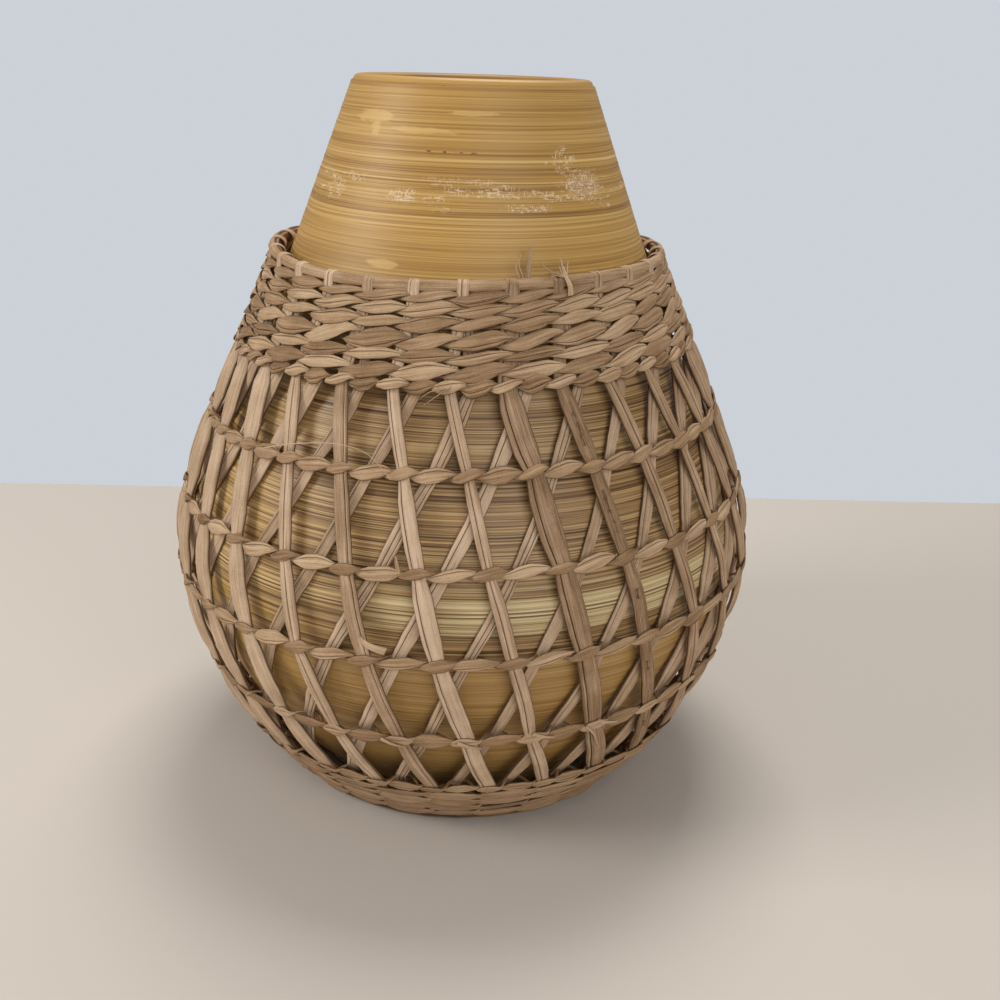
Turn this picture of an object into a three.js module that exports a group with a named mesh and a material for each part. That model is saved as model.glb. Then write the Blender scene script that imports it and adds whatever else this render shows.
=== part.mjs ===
// A bamboo vase: a shell spun from bamboo strip, standing in an open basket sleeve of seagrass.
// Millimetres, +Z up. The origin is the middle of the underside, and the front looks along -Y.
// Azimuths are measured about Z from the front, and grow towards +X.
import * as THREE from 'three';

// Vessel
const vesselHeight = 246.7;
const rimRadius = 40.3;
const neckLength = 60;
const neckFlare = 0.385;
const bellyRadius = 102;
const bellyHeight = 88;
const vesselFootRadius = 54;
const vesselWall = 4.5;
const vesselFloor = 6;
const rimRounding = 1.2;
const shoulderPull = 50;
const bellyPullUp = 29;
const bellyPullDown = 32;
const footPull = 19;
const footLift = 8;

// Base mat
const matThickness = 3;
const matEdge = 0.8;

// Stakes: each is one flat leaf folded over the rim roll, with an outer leg and an inner leg.
const stakeCount = 29;
const outerLegWidth = 5;
const innerLegWidth = 4;
const legThickness = 0.8;
const firstFoldAzimuth = 172.3;

// Twined rows
const strandThickness = 0.8;
const openFrontWidth = 3;
const openBackWidth = 1.4;
const openInnerWidth = 1.9;
const collarRowCount = 7;
const collarFrontWidth = 2.8;
const collarBackWidth = 0.9;
const baseWeaverWidth = 6;
const baseWeaverTurns = 3;
const rollRadius = 1.9;
const rollHeight = 191.5;

// Clearances between neighbours
const clearance = 0.3;
const rowClearance = 0.25;
const climbAllowance = 0.3;
const bendAllowance = 0.4;

// The open rows, from the base binding row up. Heights are above the table, and slack is the room
// between the vessel and the back of the weave at that height.
const sleeveFootRadius = 68.4;
const bindingRowHeight = 27.4;
const bindingRowSlack = 5.65;
const twinedRow4Height = 53.3;
const twinedRow4Slack = 2.6;
const twinedRow3Height = 84.1;
const twinedRow3Slack = 1;
const twinedRow2Height = 111.6;
const twinedRow2Slack = 0.7;
const twinedRow1Height = 139.1;
const twinedRow1Slack = 1.35;
const rowLevels = [
  { height: bindingRowHeight, slack: bindingRowSlack },
  { height: twinedRow4Height, slack: twinedRow4Slack },
  { height: twinedRow3Height, slack: twinedRow3Slack },
  { height: twinedRow2Height, slack: twinedRow2Slack },
  { height: twinedRow1Height, slack: twinedRow1Slack },
];
const collarFootSlack = 2.6;
const rollSlack = 0.4;

// How far the outer legs drift round the sleeve on their way down, in pitches from the fold: at the
// top of the collar, its lowest row, the open rows from the top one down, and the foot.
const outerDrift = { collarTop: 0, collarFoot: -0.2, rows: [1.65, 1.2, 0.8, 0.477, 0.155], foot: 1.75 };
// At each row an inner leg stands this share of a pitch to the right of an outer leg.
const innerLead = 0.42;
// The sleeve sits askew: its rows climb this much for each millimetre towards +X.
const askew = 0.03;
const askewFullHeight = 53.3;
// On its left the collar is pulled up and stands off the neck.
const collarLift = 3.5;
const collarStandOff = 1.2;
const collarLiftAzimuth = -95;
const collarLiftReach = 75;

// Worked-out sizes
const pitch = (2 * Math.PI) / stakeCount;
const vesselFootHeight = matThickness + clearance;
const vesselTop = vesselFootHeight + vesselHeight;
const openChannel = strandThickness + 2 * clearance + bendAllowance;
const openLayer = (openChannel + legThickness) / 2;
const collarLayer = (clearance + legThickness) / 2;
const openStrandOffset = openLayer + (legThickness + strandThickness) / 2 + clearance;
const collarStrandOffset = collarLayer + (legThickness + strandThickness) / 2 + clearance;
const openWeaveHalf = openStrandOffset + strandThickness / 2;
const collarWeaveHalf = collarStrandOffset + strandThickness / 2;
const openCrossingWidth = (openFrontWidth + openBackWidth) / 2;
const openRowHalf = (openCrossingWidth + openInnerWidth + clearance + climbAllowance) / 2;
const collarRowHalf = (collarFrontWidth + collarBackWidth + rowClearance) / 2;
const collarRowPitch = 2 * collarRowHalf + rowClearance;
const foldSides = 3;
const foldRadius = (rollRadius + clearance + legThickness / 2) / Math.cos(Math.PI / foldSides / 2);
const matRadius = sleeveFootRadius + openLayer + legThickness / 2;

// Outlines are lists of (radius, height) that climb. This gives the radius at a height.
function radiusAt(outline, height) {
  const above = outline.findIndex((point) => point.y >= height);
  const upper = above < 1 ? (above === 0 ? 1 : outline.length - 1) : above;
  const a = outline[upper - 1];
  const b = outline[upper];
  return a.x + ((b.x - a.x) * (height - a.y)) / (b.y - a.y);
}

// Outside of the vessel, from its foot to its rim: two curves and a straight neck.
function vesselOutline() {
  const foot = new THREE.Vector2(vesselFootRadius, vesselFootHeight);
  const belly = new THREE.Vector2(bellyRadius, bellyHeight);
  const neckFoot = new THREE.Vector2(rimRadius + neckFlare * neckLength, vesselTop - neckLength);
  const rim = new THREE.Vector2(rimRadius, vesselTop);
  const lower = new THREE.CubicBezierCurve(
    foot,
    new THREE.Vector2(foot.x + footPull, foot.y + footLift),
    new THREE.Vector2(belly.x, belly.y - bellyPullDown),
    belly,
  );
  const upper = new THREE.CubicBezierCurve(
    belly,
    new THREE.Vector2(belly.x, belly.y + bellyPullUp),
    new THREE.Vector2(neckFoot.x + neckFlare * shoulderPull, neckFoot.y - shoulderPull),
    neckFoot,
  );
  return [...lower.getPoints(6), ...upper.getPoints(5).slice(1), rim];
}

const vesselSide = vesselOutline();

// Heights of the top of the collar and of its lowest row. The collar leans as the neck does, so a
// length along it is longer than its height by this ratio.
const collarSlope = Math.hypot(1, neckFlare);
const collarTopHeight = rollHeight - (rollRadius + clearance + legThickness) / collarSlope;
function collarRowHeight(row) {
  return collarTopHeight - (collarRowHalf + row * collarRowPitch) / collarSlope;
}
const collarFootHeight = collarRowHeight(collarRowCount - 1);

// A leg runs straight from knot to knot. Where rows stand so far apart that it would touch the vessel
// half way, the weave bows out there by as much as that takes.
function bowBetween(low, high) {
  const height = (low.y + high.y) / 2;
  const needed = radiusAt(vesselSide, height) + openLayer + legThickness / 2 + clearance;
  return needed > (low.x + high.x) / 2 ? [new THREE.Vector2(needed, height)] : [];
}

// Middle of the sleeve's weave, from foot to rim roll.
function sleeveOutline() {
  const knots = [new THREE.Vector2(sleeveFootRadius, matThickness)];
  for (const { height, slack } of rowLevels) {
    knots.push(new THREE.Vector2(radiusAt(vesselSide, height) + slack + openWeaveHalf, height));
  }
  const collarStand = (collarFootSlack + collarWeaveHalf) * collarSlope;
  const rollStand = (rollSlack + foldRadius + legThickness / 2) * collarSlope;
  knots.push(new THREE.Vector2(radiusAt(vesselSide, collarFootHeight) + collarStand, collarFootHeight));
  knots.push(new THREE.Vector2(radiusAt(vesselSide, rollHeight) + rollStand, rollHeight));
  return knots.flatMap((knot, i) => [...(i > 1 ? bowBetween(knots[i - 1], knot) : []), knot]);
}

const sleeveSide = sleeveOutline();

// The way up the sleeve at a height, as a unit (radius, height) direction.
function riseAt(height) {
  const reach = 5;
  const spread = radiusAt(sleeveSide, height + reach) - radiusAt(sleeveSide, height - reach);
  return new THREE.Vector2(spread, 2 * reach).normalize();
}

// How much of the collar's lift a place gets: none below the collar, all at the roll, and less
// the further it is round from the lift's middle.
function liftShare(height, azimuth) {
  const from = THREE.MathUtils.radToDeg(azimuth) - collarLiftAzimuth;
  const turn = THREE.MathUtils.euclideanModulo(from + 180, 360) - 180;
  const nearness = THREE.MathUtils.clamp(1 - Math.abs(turn) / collarLiftReach, 0, 1);
  const rise = THREE.MathUtils.clamp((height - collarFootHeight) / (rollHeight - collarFootHeight), 0, 1);
  return THREE.MathUtils.smoothstep(nearness, 0, 1) * rise;
}

// A place on the sleeve. Height is that of the sleeve before it is set askew, and off is the
// distance out of the middle of the weave.
function onSleeve(height, azimuth, off = 0) {
  const fade = THREE.MathUtils.clamp((height - matThickness) / (askewFullHeight - matThickness), 0, 1);
  const middle = radiusAt(sleeveSide, height);
  const rise = riseAt(height);
  const lift = liftShare(height, azimuth);
  const slide = (askew * fade * middle * Math.sin(azimuth)) / rise.y + collarLift * lift;
  const stand = off + collarStandOff * lift;
  const radius = middle + stand * rise.y + slide * rise.x;
  const level = height - stand * rise.x + slide * rise.y;
  const round = new THREE.Vector3(Math.sin(azimuth), -Math.cos(azimuth), 0);
  const at = round.clone().multiplyScalar(radius).setZ(level);
  const face = round.clone().multiplyScalar(rise.y).setZ(-rise.x);
  const along = round.clone().multiplyScalar(rise.x).setZ(rise.y);
  return { at, face, along };
}

// A flat band swept through stations, each with its place, the way its flat face looks, half its
// width and half its thickness. A closed band joins its last station to its first.
function bandGeometry(stations, closed = false) {
  const count = stations.length;
  const positions = [];
  stations.forEach(({ at, face, wide, thick }, i) => {
    const before = closed || i > 0 ? stations[(i - 1 + count) % count].at : null;
    const after = closed || i < count - 1 ? stations[(i + 1) % count].at : null;
    const heading = new THREE.Vector3();
    if (before) heading.add(at.clone().sub(before).normalize());
    if (after) heading.add(after.clone().sub(at).normalize());
    heading.normalize();
    const out = face.clone().addScaledVector(heading, -face.dot(heading)).normalize();
    const side = new THREE.Vector3().crossVectors(out, heading);
    for (const [a, b] of [[1, 1], [-1, 1], [-1, -1], [1, -1]]) {
      const corner = at.clone().addScaledVector(side, a * wide).addScaledVector(out, b * thick);
      positions.push(corner.x, corner.y, corner.z);
    }
  });
  const triangles = [];
  for (let i = 0; i < (closed ? count : count - 1); i += 1) {
    for (let k = 0; k < 4; k += 1) {
      const a = 4 * i + k;
      const b = 4 * i + ((k + 1) % 4);
      const c = 4 * ((i + 1) % count) + ((k + 1) % 4);
      const d = 4 * ((i + 1) % count) + k;
      triangles.push(a, b, c, a, c, d);
    }
  }
  if (!closed) {
    const last = 4 * (count - 1);
    triangles.push(0, 2, 1, 0, 3, 2);
    triangles.push(last, last + 1, last + 2, last, last + 2, last + 3);
  }
  const geometry = new THREE.BufferGeometry();
  geometry.setAttribute('position', new THREE.Float32BufferAttribute(positions, 3));
  geometry.setIndex(triangles);
  geometry.computeVertexNormals();
  return geometry;
}

// Knots of the legs from foot to collar top: height before askew, outer and inner drift in pitches.
const footKnotHeight = matThickness + clearance + legThickness / 2;
const rowKnots = [
  { height: footKnotHeight, outer: outerDrift.foot, inner: outerDrift.foot - rowLevels.length },
  ...rowLevels.map(({ height }, i) => ({
    height,
    outer: outerDrift.rows[i],
    inner: outerDrift.rows[i] + innerLead - (rowLevels.length - i),
  })),
  { height: collarFootHeight, outer: outerDrift.collarFoot, inner: outerDrift.collarFoot + innerLead },
  { height: collarTopHeight, outer: outerDrift.collarTop, inner: outerDrift.collarTop },
];
const legKnots = rowKnots.flatMap((knot, i) => {
  const below = rowKnots[i - 1];
  const bows = i > 0 ? sleeveSide.filter(({ y }) => y > below.height && y < knot.height) : [];
  const outer = i > 0 ? (below.outer + knot.outer) / 2 : 0;
  const inner = i > 0 ? (below.inner + knot.inner) / 2 : 0;
  return [...bows.map(({ y }) => ({ height: y, outer, inner })), knot];
});

// Azimuth of a leg of a stake at a height.
function legAzimuth(leg, stake, height) {
  const above = legKnots.findIndex((knot) => knot.height > height);
  const upper = above < 1 ? (above === 0 ? 1 : legKnots.length - 1) : above;
  const a = legKnots[upper - 1];
  const b = legKnots[upper];
  const drift = a[leg] + ((b[leg] - a[leg]) * (height - a.height)) / (b.height - a.height);
  return THREE.MathUtils.degToRad(firstFoldAzimuth) + (stake + drift) * pitch;
}

// Half the angle that a leaning leg takes up round the sleeve at a height.
function legHalfAngle(leg, height) {
  const step = 1;
  const radius = radiusAt(sleeveSide, height);
  const turn = legAzimuth(leg, 0, height + step) - legAzimuth(leg, 0, height - step);
  const rise = radiusAt(sleeveSide, height + step) - radiusAt(sleeveSide, height - step);
  const width = leg === 'outer' ? outerLegWidth : innerLegWidth;
  return (width / 2) * Math.hypot(1, (radius * turn) / Math.hypot(rise, 2 * step)) / radius;
}

// Left and right edge of an outer leg and of the inner leg just right of it, at a height.
function pairEdges(pair, height) {
  const crossed = rowLevels.filter((row) => row.height >= height).length;
  const outer = legAzimuth('outer', pair, height);
  const inner = legAzimuth('inner', pair + crossed, height);
  const outerHalf = legHalfAngle('outer', height);
  const innerHalf = legHalfAngle('inner', height);
  return { outer: [outer - outerHalf, outer + outerHalf], inner: [inner - innerHalf, inner + innerHalf] };
}

// One stake: up the outer leg, over the rim roll and down the inner leg.
function stakeStations(stake) {
  const thick = legThickness / 2;
  const legStations = (leg, outward, wide) => legKnots.map(({ height }) => {
    const layer = outward * (height < collarFootHeight ? openLayer : collarLayer);
    const level = height === footKnotHeight ? height + layer * riseAt(height).x : height;
    const { at, face } = onSleeve(level, legAzimuth(leg, stake, height), layer);
    return { at, face: face.multiplyScalar(outward), wide, thick };
  });
  const outer = legStations('outer', 1, outerLegWidth / 2);
  const inner = legStations('inner', -1, innerLegWidth / 2).reverse();
  const azimuth = legAzimuth('outer', stake, collarTopHeight);
  const roll = onSleeve(rollHeight, azimuth);
  const fold = [];
  for (let k = 0; k <= foldSides; k += 1) {
    const turn = (Math.PI * k) / foldSides;
    const face = roll.face.clone().multiplyScalar(Math.cos(turn));
    face.addScaledVector(roll.along, Math.sin(turn));
    const wide = THREE.MathUtils.lerp(outerLegWidth, innerLegWidth, k / foldSides) / 2;
    fold.push({ at: roll.at.clone().addScaledVector(face, foldRadius), face, wide, thick });
  }
  return [...outer, ...fold, ...inner];
}

// A station of a row's strand at an azimuth, off the middle of the weave and up from the row.
function rowStation(height, azimuth, off, up, width, outward = 1) {
  const { at, face } = onSleeve(height + up * riseAt(height).y, azimuth, off);
  return { at, face: face.multiplyScalar(outward), wide: width / 2, thick: strandThickness / 2 };
}

// A station of the inner half of an open row, in the flat of the weave just at the row, so that it
// clears the legs where they bend over the belly.
function innerStation(height, azimuth, up) {
  const { at, face, along } = onSleeve(height, azimuth);
  const wide = openInnerWidth / 2;
  return { at: at.addScaledVector(along, up), face: face.negate(), wide, thick: strandThickness / 2 };
}

// An open row: one strand folded in half round its first stake. Its outer half goes in front of
// each outer leg and behind each inner leg, and its inner half lies between the two layers of legs.
function openRowStations(height) {
  const frontUp = openRowHalf - openFrontWidth / 2;
  const backUp = openRowHalf - openBackWidth / 2;
  const innerUp = openRowHalf - openInnerWidth / 2;
  const room = strandThickness / 2 / radiusAt(sleeveSide, height);
  const outerHalf = [];
  const innerHalf = [];
  for (let pair = 0; pair < stakeCount; pair += 1) {
    const { outer, inner } = pairEdges(pair, height);
    const next = pairEdges(pair + 1, height).outer[0];
    outerHalf.push(rowStation(height, outer[0] - room, openStrandOffset, -frontUp, openFrontWidth));
    outerHalf.push(rowStation(height, outer[1] + room, openStrandOffset, frontUp, openFrontWidth));
    outerHalf.push(rowStation(height, inner[0] - room, -openStrandOffset, backUp, openBackWidth));
    outerHalf.push(rowStation(height, inner[1] + room, -openStrandOffset, -backUp, openBackWidth));
    innerHalf.push(innerStation(height, (outer[1] + inner[0]) / 2, -innerUp));
    const gapMiddle = pair < stakeCount - 1 ? (inner[1] + next) / 2 : inner[1] + room;
    innerHalf.push(innerStation(height, gapMiddle, innerUp));
  }
  const start = pairEdges(0, height + openRowHalf).outer[0] - room;
  const bend = rowStation(height, start - room, openStrandOffset / 2, 0, openInnerWidth);
  bend.face.copy(sideways(start)).multiplyScalar(-1);
  const tuck = innerStation(height, start, innerUp);
  return [...outerHalf.reverse(), bend, tuck, ...innerHalf];
}

// The level direction of growing azimuth.
function sideways(azimuth) {
  return new THREE.Vector3(Math.cos(azimuth), Math.sin(azimuth), 0);
}

// A collar row: one strand folded in half round its first pair of legs, its halves going by turns
// in front of a pair and behind the next.
function collarRowStations(height) {
  const frontUp = collarRowHalf - collarFrontWidth / 2;
  const backUp = collarRowHalf - collarBackWidth / 2;
  const room = strandThickness / 2 / radiusAt(sleeveSide, height);
  const halves = [[], []];
  for (let pair = 0; pair < stakeCount; pair += 1) {
    const { outer, inner } = pairEdges(pair, height);
    const left = outer[0] - room;
    const right = inner[1] + room;
    halves.forEach((half, which) => {
      const outward = which === 0 ? 1 : -1;
      if (pair % 2 === which) {
        half.push(rowStation(height, left, collarStrandOffset, -frontUp, collarFrontWidth, outward));
        half.push(rowStation(height, right, collarStrandOffset, frontUp, collarFrontWidth, outward));
      } else {
        half.push(rowStation(height, left, -collarStrandOffset, backUp, collarBackWidth, outward));
        half.push(rowStation(height, right, -collarStrandOffset, -backUp, collarBackWidth, outward));
      }
    });
  }
  const levels = [height - collarRowHalf, height, height + collarRowHalf];
  const start = Math.min(...levels.map((level) => pairEdges(0, level).outer[0])) - room;
  const bend = rowStation(height, start - 2 * room, 0, 0, collarBackWidth);
  bend.face.copy(sideways(start)).multiplyScalar(-1);
  return [...halves[0].reverse(), bend, ...halves[1]];
}

// The weaver of the closed base band: one strand that winds round and round, in front of a pair of
// legs and behind the next. With an odd number of stakes each turn fills the spaces of the last.
function baseWeaverStations() {
  const rise = rowLevels[0].height - matThickness;
  const spread = radiusAt(sleeveSide, rowLevels[0].height) - sleeveFootRadius;
  const share = rise / Math.hypot(rise, spread);
  const top = rowLevels[0].height - (openRowHalf + clearance + baseWeaverWidth / 2) * share;
  const outerDrop = openWeaveHalf * Math.sqrt(1 - share * share);
  const bottom = matThickness + clearance + (baseWeaverWidth / 2) * share + outerDrop;
  const turnDrop = (top - bottom) / baseWeaverTurns;
  const stations = [];
  for (let k = 0; k < stakeCount * baseWeaverTurns; k += 1) {
    const height = top - (turnDrop * k) / stakeCount;
    const half = (baseWeaverWidth / 2) * share;
    const turn = Math.floor(k / stakeCount) * 2 * Math.PI;
    const spans = [height - half, height, height + half].map((level) => pairEdges(k % stakeCount, level));
    const room = strandThickness / 2 / radiusAt(sleeveSide, height);
    const left = turn + Math.min(...spans.map(({ outer, inner }) => Math.min(outer[0], inner[0]))) - room;
    const right = turn + Math.max(...spans.map(({ outer, inner }) => Math.max(outer[1], inner[1]))) + room;
    const off = k % 2 === 0 ? openStrandOffset : -openStrandOffset;
    stations.push(rowStation(height, left, off, 0, baseWeaverWidth));
    stations.push(rowStation(height, right, off, 0, baseWeaverWidth));
  }
  return stations;
}

// The rim roll: a closed ring that the stakes fold over.
function rimRollGeometry() {
  const stations = [];
  for (let k = 0; k < stakeCount; k += 1) {
    const azimuth = legAzimuth('outer', k, collarTopHeight);
    const { at, face } = onSleeve(rollHeight, azimuth);
    const square = rollRadius / Math.SQRT2;
    stations.push({ at, face, wide: square, thick: square });
  }
  return bandGeometry(stations, true);
}

// A turned solid from its half section, which starts and ends on the axis.
function turned(section, segments) {
  const geometry = new THREE.LatheGeometry(section, segments);
  geometry.rotateX(Math.PI / 2);
  return geometry;
}

function vesselGeometry() {
  const point = (radius, height) => new THREE.Vector2(radius, height);
  const inside = [];
  const floor = vesselFootHeight + vesselFloor;
  for (const { x, y } of vesselSide) {
    if (y <= floor + vesselWall) continue;
    const slope = (radiusAt(vesselSide, y + 2) - radiusAt(vesselSide, y - 2)) / 4;
    inside.push(point(x - vesselWall * Math.hypot(1, slope), y));
  }
  const mouth = inside.pop();
  const rim = vesselSide[vesselSide.length - 1];
  const section = [
    point(0, vesselFootHeight),
    ...vesselSide.slice(0, -1),
    point(rim.x + neckFlare * rimRounding, rim.y - rimRounding),
    point(rim.x - rimRounding, rim.y),
    point(mouth.x + rimRounding, rim.y),
    point(mouth.x + neckFlare * rimRounding, rim.y - rimRounding),
    ...inside.reverse(),
    point(inside[inside.length - 1].x - 2 * vesselWall, floor),
    point(0, floor),
  ];
  return turned(section, 36);
}

function matGeometry() {
  const section = [
    new THREE.Vector2(0, 0),
    new THREE.Vector2(matRadius - matEdge, 0),
    new THREE.Vector2(matRadius, matEdge),
    new THREE.Vector2(matRadius, matThickness - matEdge),
    new THREE.Vector2(matRadius - matEdge, matThickness),
    new THREE.Vector2(0, matThickness),
  ];
  return turned(section, 30);
}

const bamboo = new THREE.MeshStandardMaterial({ color: 0xb88a4a, roughness: 0.42, metalness: 0 });
const seagrass = new THREE.MeshStandardMaterial({
  color: 0x9f8468,
  roughness: 0.85,
  metalness: 0,
  flatShading: true,
});

const vase = new THREE.Group();
function add(name, geometry, material) {
  const mesh = new THREE.Mesh(geometry, material);
  mesh.name = name;
  vase.add(mesh);
}

add('bamboo_vessel', vesselGeometry(), bamboo);
add('base_mat', matGeometry(), seagrass);
add('base_weaver', bandGeometry(baseWeaverStations()), seagrass);
rowLevels.forEach(({ height }, i) => {
  const name = i === 0 ? 'base_binding_row' : `twined_row_${rowLevels.length - i}`;
  add(name, bandGeometry(openRowStations(height)), seagrass);
});
for (let k = 0; k < collarRowCount; k += 1) {
  add(`collar_row_${k + 1}`, bandGeometry(collarRowStations(collarRowHeight(k))), seagrass);
}
for (let k = 0; k < stakeCount; k += 1) {
  add(`stake_${String(k + 1).padStart(2, '0')}`, bandGeometry(stakeStations(k)), seagrass);
}
add('rim_roll', rimRollGeometry(), seagrass);

export default vase;
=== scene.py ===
import math
import random

import bpy
from mathutils import Matrix, Vector, kdtree


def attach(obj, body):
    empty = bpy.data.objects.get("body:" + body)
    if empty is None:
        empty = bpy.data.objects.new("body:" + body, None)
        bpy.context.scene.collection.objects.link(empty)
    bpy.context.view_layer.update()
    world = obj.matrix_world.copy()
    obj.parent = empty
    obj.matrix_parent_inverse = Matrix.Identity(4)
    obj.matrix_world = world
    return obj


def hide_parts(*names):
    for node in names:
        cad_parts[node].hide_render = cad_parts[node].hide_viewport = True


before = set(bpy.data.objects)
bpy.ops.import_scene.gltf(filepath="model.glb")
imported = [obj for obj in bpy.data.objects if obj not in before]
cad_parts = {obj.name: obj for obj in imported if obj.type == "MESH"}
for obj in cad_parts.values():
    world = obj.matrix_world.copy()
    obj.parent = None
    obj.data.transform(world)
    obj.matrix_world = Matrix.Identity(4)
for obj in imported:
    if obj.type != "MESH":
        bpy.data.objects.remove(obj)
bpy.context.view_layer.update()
bpy.ops.object.select_all(action="DESELECT")

MM = 0.001
TURN = 2 * math.pi

# Vessel
VESSEL_FOOT = 3.3
VESSEL_TOP = 250.0
RIM_RADIUS = 40.3
NECK_LENGTH = 60.0
NECK_FLARE = 0.385
BELLY_RADIUS = 102.0
BELLY_HEIGHT = 88.0
FOOT_RADIUS = 54.0
# How far the side's curve heads on from the foot, from the belly down and up, and from the neck down.
FOOT_PULL = Vector((19, 8))
BELLY_PULL_DOWN = 32
BELLY_PULL_UP = 29
SHOULDER_PULL = 50
WALL = 4.5
FLOOR = 6.0
RIM_ROUNDING = 1.6
STRIP_PITCH = 1.5
STRIP_GROOVE = 0.1
STRIP_PROUD = 0.04

# Sleeve
STAKE_COUNT = 29
PITCH = TURN / STAKE_COUNT
FIRST_FOLD = math.radians(172.3)
MAT_THICKNESS = 3.0
SLEEVE_FOOT_RADIUS = 68.4
ROW_HEIGHTS = [27.4, 53.3, 84.1, 111.6, 139.1]
ROW_SLACKS = [5.65, 2.6, 1.0, 0.7, 1.35]
WEAVE_HALF = 2.8
OUTER_LAYER = 1.0
INNER_LAYER = -1.85
COLLAR_TOP = 188.7
COLLAR_LAYER = 0.55
COLLAR_THICK = 0.42
COLLAR_SLOPE = math.hypot(1, NECK_FLARE)
COLLAR_ROW_PITCH = 4.2 / COLLAR_SLOPE
COLLAR_ROW_HALF = 1.975 / COLLAR_SLOPE
COLLAR_ROW_COUNT = 7
COLLAR_FOOT = COLLAR_TOP - COLLAR_ROW_HALF - (COLLAR_ROW_COUNT - 1) * COLLAR_ROW_PITCH
# How far the middle of the weave stands off the vessel, at the collar's foot and at the rim roll.
COLLAR_STAND = 4.65
ROLL_STAND = 3.8
ROLL_HEIGHT = 191.5
FOLD_RADIUS = 2.45
FOLD_RISE = 1.9
# How far round each knot of an outer leg is from its fold, in stakes, from the foot to the collar's top,
# and how much further round an inner leg is.
OUTER_DRIFT = [1.75, 1.65, 1.2, 0.8, 0.477, 0.155, -0.2, 0.0]
INNER_LEAD = 0.42
# The sleeve leans to one side, and its collar is lifted on the left.
ASKEW = 0.03
LIFT = 3.5
STAND_OFF = 1.2
LIFT_AZIMUTH = math.radians(-95)
LIFT_REACH = math.radians(75)


def mix(a, b, share):
    return a + (b - a) * share


def clamp(value, low=0.0, high=1.0):
    return max(low, min(high, value))


def smooth(share):
    share = clamp(share)
    return share * share * (3 - 2 * share)


def bezier(a, b, c, d, count):
    """Points along a cubic curve, both ends included."""
    points = []
    for i in range(count + 1):
        t = i / count
        s = 1 - t
        points.append(a * s ** 3 + b * (3 * s * s * t) + c * (3 * s * t * t) + d * t ** 3)
    return points


def vessel_outline(lower_steps, upper_steps):
    """Outside of the vessel from its foot to its rim, as (radius, height) points."""
    foot = Vector((FOOT_RADIUS, VESSEL_FOOT))
    belly = Vector((BELLY_RADIUS, BELLY_HEIGHT))
    neck = Vector((RIM_RADIUS + NECK_FLARE * NECK_LENGTH, VESSEL_TOP - NECK_LENGTH))
    rim = Vector((RIM_RADIUS, VESSEL_TOP))
    below_belly = belly - Vector((0, BELLY_PULL_DOWN))
    above_belly = belly + Vector((0, BELLY_PULL_UP))
    below_neck = neck + Vector((NECK_FLARE * SHOULDER_PULL, -SHOULDER_PULL))
    lower = bezier(foot, foot + FOOT_PULL, below_belly, belly, lower_steps)
    upper = bezier(belly, above_belly, below_neck, neck, upper_steps)
    return lower + upper[1:] + [rim]


def radius_at(outline, height):
    """Radius of an outline of (radius, height) points at a height."""
    for a, b in zip(outline, outline[1:]):
        if height <= b.y:
            break
    return a.x + (b.x - a.x) * (height - a.y) / (b.y - a.y)


VESSEL_SIDE = vessel_outline(6, 5)


def sleeve_outline():
    """Middle of the sleeve's weave, from its foot to the rim roll."""
    knots = [Vector((SLEEVE_FOOT_RADIUS, MAT_THICKNESS))]
    for height, slack in zip(ROW_HEIGHTS, ROW_SLACKS):
        knots.append(Vector((radius_at(VESSEL_SIDE, height) + slack + WEAVE_HALF, height)))
    for height, stand in ((COLLAR_FOOT, COLLAR_STAND), (ROLL_HEIGHT, ROLL_STAND)):
        knots.append(Vector((radius_at(VESSEL_SIDE, height) + stand * COLLAR_SLOPE, height)))
    return knots


SLEEVE_SIDE = sleeve_outline()


def rise_at(height):
    """The way up the sleeve at a height, as (outward, upward) shares."""
    reach = 5
    spread = radius_at(SLEEVE_SIDE, height + reach) - radius_at(SLEEVE_SIDE, height - reach)
    return Vector((spread, 2 * reach)).normalized()


def lift_share(height, azimuth):
    """How much of the collar's lift a place gets, from 0 to 1."""
    turn = (azimuth - LIFT_AZIMUTH + math.pi) % TURN - math.pi
    climb = clamp((height - COLLAR_FOOT) / (ROLL_HEIGHT - COLLAR_FOOT))
    return smooth(1 - abs(turn) / LIFT_REACH) * climb


def on_sleeve(height, azimuth, off=0.0):
    """A place on the sleeve, off the middle of the weave, with the way out and the way up there."""
    fade = clamp((height - MAT_THICKNESS) / (ROW_HEIGHTS[1] - MAT_THICKNESS))
    middle = radius_at(SLEEVE_SIDE, height)
    rise = rise_at(height)
    lift = lift_share(height, azimuth)
    slide = ASKEW * fade * middle * math.sin(azimuth) / rise.y + LIFT * lift
    stand = off + STAND_OFF * lift
    out = Vector((math.sin(azimuth), -math.cos(azimuth), 0))
    at = out * (middle + stand * rise.y + slide * rise.x)
    at.z = height - stand * rise.x + slide * rise.y
    face = out * rise.y - Vector((0, 0, rise.x))
    along = out * rise.x + Vector((0, 0, rise.y))
    return at, face, along


# The knots of a leg are its foot on the mat, the rows that hold it, and the collar's foot and top.
LEG_FOOT = MAT_THICKNESS + 0.7
KNOT_HEIGHTS = [LEG_FOOT] + ROW_HEIGHTS + [COLLAR_FOOT, COLLAR_TOP]
ROW_COUNT = len(ROW_HEIGHTS)
INNER_DRIFT = [OUTER_DRIFT[0] - ROW_COUNT]
INNER_DRIFT += [OUTER_DRIFT[i + 1] + INNER_LEAD - (ROW_COUNT - i) for i in range(ROW_COUNT)]
INNER_DRIFT += [OUTER_DRIFT[-2] + INNER_LEAD, OUTER_DRIFT[-1]]


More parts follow.
